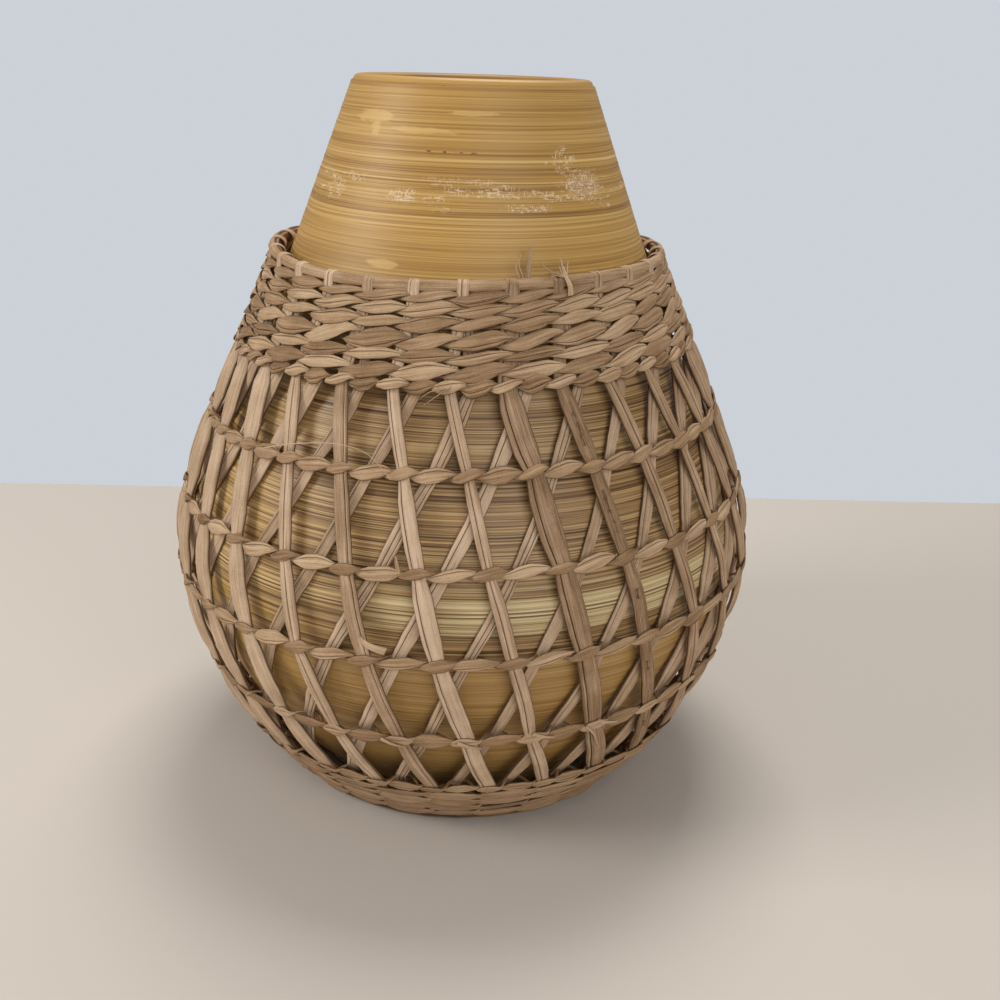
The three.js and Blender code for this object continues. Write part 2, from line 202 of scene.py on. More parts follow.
def leg_azimuth(drifts, stake, height):
    """Azimuth of a leg of a stake at a height, from its drift at each knot height."""
    upper = 1
    while upper < len(KNOT_HEIGHTS) - 1 and KNOT_HEIGHTS[upper] <= height:
        upper += 1
    low, high = KNOT_HEIGHTS[upper - 1], KNOT_HEIGHTS[upper]
    drift = mix(drifts[upper - 1], drifts[upper], (height - low) / (high - low))
    return FIRST_FOLD + (stake + drift) * PITCH


# Leaf bands: a band is a cross-section swept through stations. A station is (place, way the face
# looks, half width, half thickness, tone), and tone runs from -1, dark, to 1, pale.
EDGE_SHARE = 0.1
GROOVE_SHARE = 0.06


def leaf_section(front_grooves, back_grooves, depth=0.7):
    """Points round a leaf's cross-section, from its left edge over its face and back underneath, as
    (across, lift, painted shading). Across and lift run from -1 to 1. The painted shading is 0 on the ridge
    beside a groove, for a painted highlight, 0.2 on flat leaf, and near 1 in a groove or at an edge, for
    painted shade."""
    def side(grooves, is_front):
        bounds = [-1.0] + grooves + [1.0]
        points = []
        for low, high in zip(bounds, bounds[1:]):
            start = low + (EDGE_SHARE if low == -1 else GROOVE_SHARE)
            stop = high - (EDGE_SHARE if high == 1 else GROOVE_SHARE)
            ridge = 0.2 * (high - low)
            points.append((start, 0.65 if low == -1 else 0.9, 0.34))
            if is_front:
                points.append((start + ridge, 1.0, 0.0 if low > -1 else 0.2))
            points.append(((low + high) / 2, 1.0, 0.2))
            if is_front:
                points.append((stop - ridge, 1.0, 0.0 if high < 1 else 0.2))
            points.append((stop, 0.65 if high == 1 else 0.9, 0.34))
            if high < 1:
                points.append((high, 1 - depth, 0.9))
        return points
    front = side(front_grooves, True)
    turned = side([-g for g in reversed(back_grooves)], False)
    back = [(-across, -lift, painted_shading) for across, lift, painted_shading in turned]
    return [(-1.0, 0.0, 0.95)] + front + [(1.0, 0.0, 0.95)] + back


def new_piece(name, vertices, edges, faces):
    mesh = bpy.data.meshes.new(name)
    mesh.from_pydata(vertices, edges, faces)
    piece = bpy.data.objects.new(name, mesh)
    bpy.context.scene.collection.objects.link(piece)
    return piece


class Strands:
    """Vertices and faces of a piece made of leaf bands."""

    def __init__(self):
        self.vertices = []
        self.faces = []
        self.uvs = []
        self.tones = []
        self.painted_shadings = []

    def add(self, stations, section, closed=False):
        """Adds a band. A closed one joins its last station to its first."""
        count = len(stations)
        around = len(section)
        first = len(self.vertices)
        length = 0.0
        lengths = []
        for i, (at, face, wide, thick, tone) in enumerate(stations):
            before = stations[i - 1][0] if closed or i > 0 else at
            after = stations[(i + 1) % count][0] if closed or i < count - 1 else at
            heading = (after - before).normalized()
            out = (face - heading * face.dot(heading)).normalized()
            side = out.cross(heading)
            lengths.append(length)
            length += (after - at).length
            for across, lift, painted_shading in section:
                self.vertices.append((at + side * (across * wide) + out * (lift * thick)) * MM)
                self.tones.append(tone)
                self.painted_shadings.append(painted_shading)
        lengths.append(length)
        for i in range(count if closed else count - 1):
            here, there = first + i * around, first + (i + 1) % count * around
            for k in range(around):
                n = (k + 1) % around
                self.faces.append((here + k, there + k, there + n, here + n))
                across_k = section[k][0] * stations[i][2]
                across_n = section[n][0] * stations[i][2]
                start, end = lengths[i], lengths[i + 1]
                self.uvs += [(start, across_k), (end, across_k), (end, across_n), (start, across_n)]
        if not closed:
            last = first + (count - 1) * around
            self.faces.append(tuple(range(first, first + around)))
            self.faces.append(tuple(reversed(range(last, last + around))))
            self.uvs += [(0.0, s[0]) for s in section] + [(length, s[0]) for s in reversed(section)]

    def piece(self, name, material, slot, *nodes):
        piece = new_piece(name, self.vertices, [], self.faces)
        uv_map = piece.data.uv_layers.new(name="along")
        for loop, (along, across) in zip(uv_map.data, self.uvs):
            loop.uv = (along / 100, across / 100)
        # Each vertex keeps its tone and its painted shading, which the leaf material turns into painted
        # shade in grooves and at edges and painted highlights on ridges.
        for attribute, values in (("tone", self.tones), ("painted_shading", self.painted_shadings)):
            piece.data.attributes.new(attribute, "FLOAT", "POINT").data.foreach_set("value", values)
        piece.data.materials.append(material)
        return dress(piece, slot, *nodes)


def dress(piece, slot, *nodes, angle=50):
    """Smooths a finished piece and ties it to the frame."""
    bpy.ops.object.select_all(action="DESELECT")
    bpy.context.view_layer.objects.active = piece
    piece.select_set(True)
    bpy.ops.object.shade_smooth_by_angle(angle=math.radians(angle))
    piece.select_set(False)
    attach(piece, "root")
    if nodes:
        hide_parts(*nodes)
    return piece


# Materials
def principled(name):
    material = bpy.data.materials.new(name)
    material.use_nodes = True
    return material, material.node_tree, material.node_tree.nodes["Principled BSDF"]


def feed(tree, made, inputs):
    """Gives inputs of a node, by name or number, a number, a colour or what another node puts out."""
    for key, value in inputs.items():
        if isinstance(value, bpy.types.NodeSocket):
            tree.links.new(value, made.inputs[key])
        else:
            made.inputs[key].default_value = (*value, 1) if isinstance(value, tuple) else value


def node(tree, kind, inputs=None, **settings):
    made = tree.nodes.new(kind)
    for key, value in settings.items():
        setattr(made, key, value)
    feed(tree, made, inputs or {})
    return made


def math_node(tree, operation, *values):
    return node(tree, "ShaderNodeMath", dict(enumerate(values)), operation=operation).outputs[0]


def swing(tree, value, amount):
    """A value from 0 to 1, made to swing about 0 by half the amount each way."""
    return math_node(tree, "MULTIPLY", math_node(tree, "SUBTRACT", value, 0.5), amount)


def noise_of(tree, vector, scale, detail, roughness=0.5):
    inputs = {"Vector": vector, "Scale": scale, "Detail": detail, "Roughness": roughness}
    return node(tree, "ShaderNodeTexNoise", inputs).outputs["Fac"]


def colour_mix(tree, share, a, b, blend="MIX"):
    inputs = {0: share, 6: a, 7: b}
    return node(tree, "ShaderNodeMix", inputs, data_type="RGBA", blend_type=blend).outputs[2]


def ramp(tree, value, stops):
    """A colour or grey ramp: stops are (place, grey or colour)."""
    made = node(tree, "ShaderNodeValToRGB", {0: value})
    elements = made.color_ramp.elements
    while len(elements) < len(stops):
        elements.new(0.5)
    for element, (place, colour) in zip(elements, stops):
        element.position = place
        element.color = (*colour, 1) if isinstance(colour, tuple) else (colour, colour, colour, 1)
    return made.outputs[0]


def relief(tree, shader, height, strength, depth):
    """Fine relief from a height. The depth is in millimetres."""
    inputs = {"Strength": strength, "Distance": depth * MM, "Height": height}
    feed(tree, shader, {"Normal": node(tree, "ShaderNodeBump", inputs).outputs[0]})


def leaf_grain_and_shading():
    """A node group for dried leaf: fine lines along it, painted shade in its grooves and at its edges, a
    painted highlight on the ridge beside each groove, and a tone for each piece. It gives the colour, and
    the height of the lines for a bump."""
    tree = bpy.data.node_groups.new("leaf_grain_and_shading", "ShaderNodeTree")
    for given in ("Dark", "Middle", "Pale"):
        tree.interface.new_socket(given, in_out="INPUT", socket_type="NodeSocketColor")
    tree.interface.new_socket("Colour", in_out="OUTPUT", socket_type="NodeSocketColor")
    tree.interface.new_socket("Height", in_out="OUTPUT", socket_type="NodeSocketFloat")
    leaf_colours = node(tree, "NodeGroupInput").outputs
    uv = node(tree, "ShaderNodeUVMap", uv_map="along").outputs[0]
    tone = node(tree, "ShaderNodeAttribute", attribute_name="tone").outputs["Fac"]
    painted_shading = node(tree, "ShaderNodeAttribute", attribute_name="painted_shading").outputs["Fac"]
    place = node(tree, "ShaderNodeTexCoord").outputs["Object"]

    def calc(operation, *values):
        return math_node(tree, operation, *values)

    def stretched(scale, detail, roughness):
        """Noise drawn out along the leaf."""
        mapping = node(tree, "ShaderNodeMapping", {"Vector": uv, "Scale": [*scale, 1]})
        return noise_of(tree, mapping.outputs[0], 1, detail, roughness)

    fibres = stretched((7, 300), 3, 0.65)
    streaks = stretched((3, 90), 2, 0.5)
    specks = noise_of(tree, place, 1900, 2, 0.6)
    patches = noise_of(tree, place, 90, 3)
    level = calc("ADD", calc("MULTIPLY", tone, 0.24), 0.5)
    for changing, amount in ((fibres, 1.0), (streaks, 0.6), (patches, 0.5), (specks, 0.3)):
        level = calc("ADD", level, swing(tree, changing, amount))
    # Painted highlight: the leaf is made paler on the ridge beside each groove.
    ridge = ramp(tree, painted_shading, [(0.0, 0.13), (0.17, 0.0)])
    level = calc("ADD", level, ridge)
    dark_to_middle = ramp(tree, level, [(0.12, 0.0), (0.5, 1.0)])
    middle_to_pale = ramp(tree, level, [(0.5, 0.0), (0.9, 1.0)])
    colour = colour_mix(tree, dark_to_middle, leaf_colours["Dark"], leaf_colours["Middle"])
    colour = colour_mix(tree, middle_to_pale, colour, leaf_colours["Pale"])
    # Painted shade: the leaf turns to its dark colour, darkened further, in its grooves and at its edges.
    shade = ramp(tree, painted_shading, [(0.2, 0.0), (0.4, 0.1), (0.65, 0.6), (0.9, 0.96)])
    shaded = colour_mix(tree, 1.0, leaf_colours["Dark"], (0.34, 0.28, 0.24), "MULTIPLY")
    colour = colour_mix(tree, shade, colour, shaded)
    height = calc("ADD", fibres, calc("MULTIPLY", streaks, 1.5))
    node(tree, "NodeGroupOutput", {"Colour": colour, "Height": height})
    return tree


LEAF_GRAIN_AND_SHADING = leaf_grain_and_shading()


def leaf_material(name, dark, middle, pale, fibre_depth):
    """Dried leaf in its own colours, with painted shade in its grooves and at its edges and painted
    highlights beside the grooves. The depth is how far its fibres stand up, in millimetres.
    """
    material, tree, shader = principled(name)
    leaf_colours = {"Dark": dark, "Middle": middle, "Pale": pale}
    grain_and_shading = node(tree, "ShaderNodeGroup", leaf_colours, node_tree=LEAF_GRAIN_AND_SHADING).outputs
    feed(tree, shader, {"Base Color": grain_and_shading["Colour"], "Roughness": 0.75, "Specular IOR Level": 0.25})
    relief(tree, shader, grain_and_shading["Height"], 0.7, fibre_depth)
    return material


def spot(tree, place, centre, size, edge, soft):
    """A patch round a point: 1 inside, 0 outside. The edge is a value that roughens its border, and
    soft is how far out, as a share of its size, the patch starts to fade."""
    for operation, lengths in (("SUBTRACT", centre), ("DIVIDE", size)):
        inputs = {0: place, 1: [length * MM for length in lengths]}
        place = node(tree, "ShaderNodeVectorMath", inputs, operation=operation).outputs[0]
    away = node(tree, "ShaderNodeVectorMath", {0: place}, operation="LENGTH").outputs["Value"]
    return ramp(tree, math_node(tree, "ADD", away, edge), [(soft, 1.0), (1.0, 0.0)])


def bamboo_material():
    """Spun bamboo strip: level lines, golden lacquer above, rubbed raw strip behind the sleeve, a band
    of pale strips round the belly, and scuffs and pale patches on the neck."""
    material, tree, shader = principled("spun_bamboo")
    place = node(tree, "ShaderNodeTexCoord").outputs["Object"]
    wound = node(tree, "ShaderNodeAttribute", attribute_name="wound").outputs["Fac"]
    x, y, z = node(tree, "ShaderNodeSeparateXYZ", {0: place}).outputs

    def calc(operation, *values):
        return math_node(tree, operation, *values)

    def around(across_scale, wound_scale, detail, roughness=0.5, shift=0.0):
        """Noise stretched along the turns of the strip. The scales are per metre."""
        inputs = {0: calc("MULTIPLY", x, across_scale), 1: calc("MULTIPLY", y, across_scale),
                  2: calc("ADD", calc("MULTIPLY", wound, wound_scale), shift)}
        vector = node(tree, "ShaderNodeCombineXYZ", inputs).outputs[0]
        return noise_of(tree, vector, 1, detail, roughness)

    def graded(value, *stops):
        return ramp(tree, value, stops)

    def zone(*stops):
        """A grey level by height, from (millimetres, level) stops."""
        return graded(height, *[(at / VESSEL_TOP, grey) for at, grey in stops])

    def over(share, under, upper):
        return colour_mix(tree, share, under, upper)

    def patches(mask, soft, *spots):
        """A mask, and 1 in each patch too. A patch is (middle, size), in millimetres."""
        for centre, size in spots:
            mask = calc("MAXIMUM", mask, spot(tree, place, centre, size, ragged, soft))
        return mask

    height = calc("MULTIPLY", z, 1 / (VESSEL_TOP * MM))
    turns = calc("DIVIDE", wound, STRIP_PITCH * MM)
    own = node(tree, "ShaderNodeTexWhiteNoise", {"W": calc("FLOOR", turns)}, noise_dimensions="1D")
    raw_zone = zone((40, 0.5), (81, 0.5), (84, 1.0), (166, 1.0), (178, 0.0))

    hair = around(7, 2600, 2, 0.6)
    lines = graded(around(5, 1500, 2, 0.5, 3.0), (0.46, 0.0), (0.54, 1.0))
    dashes = graded(around(12, 2000, 2, 0.5, 8.0), (0.53, 0.0), (0.59, 1.0))
    bands = graded(around(1.6, 250, 2, 0.5, 4.0), (0.42, 0.0), (0.58, 1.0))
    contrast = zone((76, 0.42), (84, 1.0), (160, 1.0), (178, 0.36), (204, 0.4), (209, 0.65),
                    (226, 0.65), (231, 0.43))
    level = 0.0
    for changing, amount in (
        (hair, 0.7), (lines, 0.2), (bands, 0.08), (own.outputs["Value"], 0.14), (dashes, -0.3),
    ):
        level = calc("ADD", swing(tree, changing, amount), level)
    level = calc("ADD", calc("MULTIPLY", level, contrast), 0.46)
    # Turns of paler and of darker strip, by height.
    rings = zone(
        (116, 0.5), (121.2, 0.42), (121.6, 0.2), (122, 0.5), (143.8, 0.46), (144.4, 0.75), (146, 0.7),
        (146.6, 0.5), (149.6, 0.46), (150, 0.76), (151.3, 0.7), (152, 0.5), (208, 0.5), (209.5, 0.7),
        (210.4, 0.64), (210.9, 0.26), (215.2, 0.28), (215.9, 0.5))
    neck_rings = zone(
        (215.6, 0.5), (216.5, 0.62), (217.3, 0.56), (217.9, 0.32), (219.9, 0.3), (220.5, 0.72),
        (221.3, 0.62), (221.9, 0.27), (225, 0.3), (225.7, 0.66), (226.5, 0.7), (227.4, 0.42),
        (231, 0.42), (232.2, 0.68), (233.2, 0.58), (234, 0.5), (246, 0.5), (248, 0.36))
    for ringed in (rings, neck_rings):
        level = calc("ADD", swing(tree, ringed, 0.6), level)
    golden = graded(level, (0.15, (0.21, 0.105, 0.025)), (0.4, (0.39, 0.213, 0.05)),
                    (0.54, (0.495, 0.293, 0.078)), (0.82, (0.7, 0.48, 0.19)))
    raw = graded(level, (0.14, (0.07, 0.032, 0.011)), (0.36, (0.2, 0.108, 0.04)),
                 (0.5, (0.29, 0.166, 0.066)), (0.8, (0.57, 0.385, 0.175)))
    leftward = calc("MULTIPLY", x, -10.0)
    lacquered = calc("MULTIPLY", graded(leftward, (0.4, 0.0), (0.75, 0.75)), zone((100, 1.0), (150, 0.7)))
    raw = over(lacquered, raw, golden)
    colour = over(raw_zone, golden, raw)

    # The belly's pale strips, less pale to the left and worn in places, and the dark gaps at them.
    pale_zone = zone((91.2, 0.0), (91.8, 1.0), (102.4, 1.0), (102.9, 0.0), (104.8, 0.0), (105.2, 0.7),
                     (106.2, 0.7), (106.6, 0.0))
    rightward = calc("ADD", calc("MULTIPLY", x, 10.0), 0.5)
    pale_zone = calc("MULTIPLY", pale_zone, graded(rightward, (0.1, 0.25), (0.32, 1.0)))
    worn = graded(around(14, 190, 3, 0.6, 5.0), (0.34, 0.2), (0.46, 1.0))
    pale_zone = calc("MULTIPLY", pale_zone, worn)
    pale = graded(level, (0.1, (0.18, 0.105, 0.04)), (0.3, (0.35, 0.24, 0.1)),
                  (0.46, (0.5, 0.38, 0.19)), (0.85, (0.7, 0.56, 0.32)))
    colour = over(pale_zone, colour, pale)
    for at, strength in (
        (0.0972, 0.8), (0.0984, 0.9), (0.1032, 0.8), (0.0913, 0.7), (0.108, 0.7), (0.1216, 0.75),
    ):
        sway = swing(tree, around(9, 60, 2, 0.5, at * 100), 0.0012)
        gap = calc("ABSOLUTE", calc("SUBTRACT", calc("ADD", z, sway), at))
        line = graded(calc("MULTIPLY", gap, 1000), (0.12, strength), (0.4, 0.0))
        colour = over(line, colour, (0.12, 0.065, 0.02))

    within = calc("FRACT", turns)
    seam = graded(calc("ABSOLUTE", calc("SUBTRACT", within, 0.5)), (0.42, 0.0), (0.5, 1.0))
    seam_strength = graded(around(6, 500, 2, 0.5, 9.0), (0.46, 0.1), (0.58, 0.75))
    groove = calc("MULTIPLY", calc("MULTIPLY", seam, seam_strength), contrast)
    colour = over(groove, colour, (0.14, 0.07, 0.022))

    ragged = swing(tree, around(110, 420, 3, 0.65, 7.0), 1.6)
    blot = patches(
        0.0, 0.75, ((-30, -33, 238.2), (11, 11, 1.9)), ((-30, -34.5, 234.6), (2, 3, 2.6)),
        ((-16, -43, 234.6), (12, 9, 1.1)), ((-28, -54, 195.7), (7, 9, 1.3)), ((0, -44, 240), (9, 8, 0.9)))
    colour = over(calc("MULTIPLY", blot, 0.7), colour, (0.64, 0.42, 0.14))

    # Scuffs: short upright and level nicks that show pale, all round in one band and in some patches.
    upright = around(1700, 330, 2, 0.6, 2.0)
    level_ticks = around(330, 1900, 2, 0.6, 6.0)
    hatch = graded(calc("MAXIMUM", upright, level_ticks), (0.56, 0.0), (0.61, 1.0))
    patchy = graded(around(60, 260, 2, 0.5, 12.0), (0.53, 0.0), (0.6, 1.0))
    chip_zone = calc("MULTIPLY", zone((211, 0.0), (213, 1.0), (220, 1.0), (222, 0.0)), patchy)
    chip_zone = patches(
        chip_zone, 0.55, ((35, -38, 219.5), (10, 12, 5.5)), ((28.5, -40, 227), (4.5, 8, 5)),
        ((6, -52, 217.4), (17, 9, 1.9)), ((18, -51, 213.4), (9, 9, 1.8)), ((-21, -49, 215.6), (6, 9, 2.6)),
        ((-44, -31, 216), (4, 9, 5)), ((23, -44, 225), (0.5, 6, 2.6)))
    chip = calc("MULTIPLY", hatch, chip_zone)
    rubbed = patches(0.0, 0.4, ((36, -38, 219.5), (8, 12, 4.5)))
    colour = over(calc("MULTIPLY", rubbed, 0.35), colour, (0.5, 0.36, 0.26))
    colour = over(calc("MULTIPLY", chip, 0.8), colour, (0.76, 0.6, 0.42))
    nicks = graded(around(260, 900, 2, 0.6, 21.0), (0.58, 0.0), (0.64, 1.0))
    nick_zone = patches(0.0, 0.6, ((-15, -38, 248), (7, 8, 0.9)), ((-8, -47, 228.8), (12, 8, 0.9)))
    colour = over(calc("MULTIPLY", nicks, nick_zone), colour, (0.13, 0.065, 0.02))
    feed(tree, shader, {
        "Base Color": colour, "Roughness": graded(chip, (0.0, 0.5), (1.0, 0.8)),
        "Specular IOR Level": 0.4, "Coat Weight": 0.08, "Coat Roughness": 0.35})
    relief(tree, shader, calc("SUBTRACT", calc("MULTIPLY", hair, 0.4), groove), 0.6, 0.1)
    return material


BAMBOO = bamboo_material()
STAKE_LEAF = leaf_material(
    "stake_leaf", (0.19, 0.108, 0.052), (0.405, 0.268, 0.162), (0.66, 0.49, 0.34), 0.15)
ROW_LEAF = leaf_material(
    "row_leaf", (0.15, 0.08, 0.034), (0.345, 0.215, 0.117), (0.585, 0.42, 0.265), 0.15)
MAT_LEAF = leaf_material("mat_leaf", (0.16, 0.1, 0.06), (0.3, 0.2, 0.13), (0.45, 0.33, 0.22), 0.12)


def vessel():
    """The spun shell: its half section is drawn, with a groove at each turn of the strip, and spun."""
    outline = vessel_outline(60, 60)
    spin_steps = 120
    doubled = 0.00001
    lengths = [0.0]
    for a, b in zip(outline, outline[1:]):
        lengths.append(lengths[-1] + (b - a).length)
    draw = random.Random(3)
    outside = []
    for turn in range(int(lengths[-1] / STRIP_PITCH)):
        proud = draw.uniform(-STRIP_PROUD, STRIP_PROUD)
        for share, depth in ((0.0, STRIP_GROOVE), (0.3, 0.0), (0.7, 0.0)):
            along = (turn + share) * STRIP_PITCH
            i = max(k for k, reached in enumerate(lengths) if reached <= along)
            i = min(i, len(outline) - 2)
            heading = (outline[i + 1] - outline[i]).normalized()
            at = outline[i] + heading * (along - lengths[i])
            outside.append((at + Vector((heading.y, -heading.x)) * (proud - depth), along))
    total = lengths[-1]
    outside = [(at, along) for at, along in outside if at.y < VESSEL_TOP - RIM_ROUNDING - 0.4]
    slope = math.hypot(1, NECK_FLARE)
    mouth = RIM_RADIUS - WALL * slope
    rim = []
    for k in range(9):
        turn = math.pi * k / 8
        middle = Vector(((RIM_RADIUS + mouth) / 2, VESSEL_TOP - RIM_ROUNDING))
        edge = Vector((math.cos(turn) * (WALL * slope / 2), math.sin(turn) * RIM_ROUNDING))
        rim.append((middle + edge, total))
    inside = []
    for at, along in outside[::-4]:
        if at.y > VESSEL_FOOT + FLOOR + WALL:
            slope_here = (radius_at(outline, at.y + 2) - radius_at(outline, at.y - 2)) / 4
            inside.append((Vector((at.x - WALL * math.hypot(1, slope_here), at.y)), along))
    # The inside turns into the floor over a short slope.
    floor_height = VESSEL_FOOT + FLOOR
    inside.append((Vector((inside[-1][0].x - 4, floor_height + 1)), 0.0))
    inside.append((Vector((inside[-1][0].x - 5, floor_height)), 0.0))
    section = [(Vector((0, VESSEL_FOOT)), 0.0), (Vector((FOOT_RADIUS * 0.7, VESSEL_FOOT)), 0.0)]
    section += outside + rim + inside + [(Vector((0, floor_height)), 0.0)]

    points = [Vector((at.x, 0, at.y)) * MM for at, _ in section]
    edges = [(i, i + 1) for i in range(len(points) - 1)]
    piece = new_piece("bamboo_vessel_spun", points, edges, [])
    bpy.context.view_layer.objects.active = piece
    piece.select_set(True)
    bpy.ops.object.mode_set(mode="EDIT")
    bpy.ops.mesh.select_all(action="SELECT")
    bpy.ops.mesh.spin(steps=spin_steps, angle=TURN, center=(0, 0, 0), axis=(0, 0, 1))
    bpy.ops.mesh.select_all(action="SELECT")
    bpy.ops.mesh.remove_doubles(threshold=doubled)
    bpy.ops.mesh.normals_make_consistent(inside=False)
    bpy.ops.object.mode_set(mode="OBJECT")

    nearest = kdtree.KDTree(len(section))
    for i, (at, along) in enumerate(section):
        nearest.insert((at.x, at.y, 0), i)
    nearest.balance()
    wound = []
    for vertex in piece.data.vertices:
        radius = math.hypot(vertex.co.x, vertex.co.y) / MM
        i = nearest.find((radius, vertex.co.z / MM, 0))[1]
        wound.append(section[i][1] * MM)
    piece.data.attributes.new("wound", "FLOAT", "POINT").data.foreach_set("value", wound)
    piece.data.materials.append(BAMBOO)
    return dress(piece, "bamboo", "bamboo_vessel", angle=40)


def rounded_run(knots, step):
    """Stations along straight runs between knots, rounded at each knot. A knot is (place, face, half
    width, how far from it the bend starts)."""
    stations = []
    for i, (at, face, wide, bend) in enumerate(knots):
        into = (at - knots[i - 1][0]).normalized() if i > 0 else None
        away = (knots[i + 1][0] - at).normalized() if i < len(knots) - 1 else None
        if into is None or away is None:
            stations.append((at, face, wide))
        else:
            a, b = at - into * bend, at + away * bend
            for t in (0, 0.25, 0.5, 0.75, 1):
                stations.append((a * (1 - t) ** 2 + at * (2 * t * (1 - t)) + b * t * t, face, wide))
        if away is not None:
            start = stations[-1][0]
            stop_at, stop_face, stop_wide, stop_bend = knots[i + 1]
            stop = stop_at if i + 1 == len(knots) - 1 else stop_at - away * stop_bend
            count = max(1, round((stop - start).length / step))
            for k in range(1, count):
                share = k / count
                looks = face.lerp(stop_face, share)
                stations.append((start.lerp(stop, share), looks, mix(wide, stop_wide, share)))
    return stations


# A leg's bow between two rows, as a share of a smooth curve's, and an inner leg's of an outer leg's.
BOW_SHARE = 1.8
INNER_BOW = 0.6


def leg_bow(i):
    """How far a leg bows out half way between knots i and i + 1, as a smooth belly does."""
    if not 0 < i + 1 < len(KNOT_HEIGHTS) - 1:
        return 0.0
    before = radius_at(SLEEVE_SIDE, KNOT_HEIGHTS[max(i - 1, 0)])
    after = radius_at(SLEEVE_SIDE, KNOT_HEIGHTS[i + 2])
    ends = radius_at(SLEEVE_SIDE, KNOT_HEIGHTS[i]) + radius_at(SLEEVE_SIDE, KNOT_HEIGHTS[i + 1])
    return max(0.0, BOW_SHARE * (ends - before - after) / 16)


# Leaves of the stakes that show in front: half width of the outer leg, how many times as wide it is
# from the belly down, its grooves and its tone, then the inner leg's half width and tone.
STAKE_LEAVES = {
    6: (2.9, 1.0, [], 0.1, 2.8, 0.3),
    7: (3.0, 1.0, [0.4], 0.1, 2.8, 0.4),
    8: (3.0, 1.0, [], 0.2, 2.8, 0.5),
    9: (3.1, 1.0, [0.5], 0.3, 2.6, 0.5),
    10: (3.2, 1.0, [], 0.4, 2.9, 0.5),
    11: (3.0, 1.0, [], 0.5, 2.9, 0.7),
    12: (3.1, 1.0, [], 0.7, 2.7, 0.6),
    13: (2.2, 1.0, [0.1], 0.5, 2.6, 1.0),
    14: (2.4, 1.0, [-0.5], -0.2, 2.0, 0.5),
    15: (2.0, 1.5, [0.5], 0.9, 2.2, 0.3),
    16: (1.9, 1.2, [0.2], 0.3, 2.3, 0.7),
    17: (3.6, 0.95, [0.5], -0.75, 2.4, 1.3),
    18: (2.5, 0.95, [0.45, -0.3], -1.1, 2.0, 0.7),
    19: (2.2, 0.95, [-0.1], -0.4, 1.9, 0.4),
    20: (1.65, 1.0, [0.2], -0.2, 2.0, 0.5),
    21: (2.0, 1.0, [-0.2], -0.1, 2.3, 0.2),
    22: (2.8, 1.0, [0.4], 0.0, 2.8, 0.2),
    23: (2.9, 1.0, [], 0.0, 3.1, 0.3),
    24: (2.9, 1.0, [], 0.1, 3.3, 0.2),
    25: (2.9, 1.0, [-0.3], -0.1, 3.3, 0.1),
}


# A leg's stations stand a step apart, and below the collar it is this thick to each side. It bends
# within so much of a row and of half way between two rows, and at the sides of the vase its face is
# turned to the front by so much there.
LEG_STEP = 2.5
LEG_THICK = 0.85
ROW_BEND, BETWEEN_BEND = 2.0, 7.0
ROW_TURN, BETWEEN_TURN = 0.15, 0.4


def turned_in(face, azimuth, most):
    """A leg's face, turned a little to the front where the leg is at the side of the vase."""
    turn = most * math.sin(azimuth)
    onward = Vector((math.cos(azimuth), math.sin(azimuth), 0))
    return face * math.cos(turn) - onward * math.sin(turn)


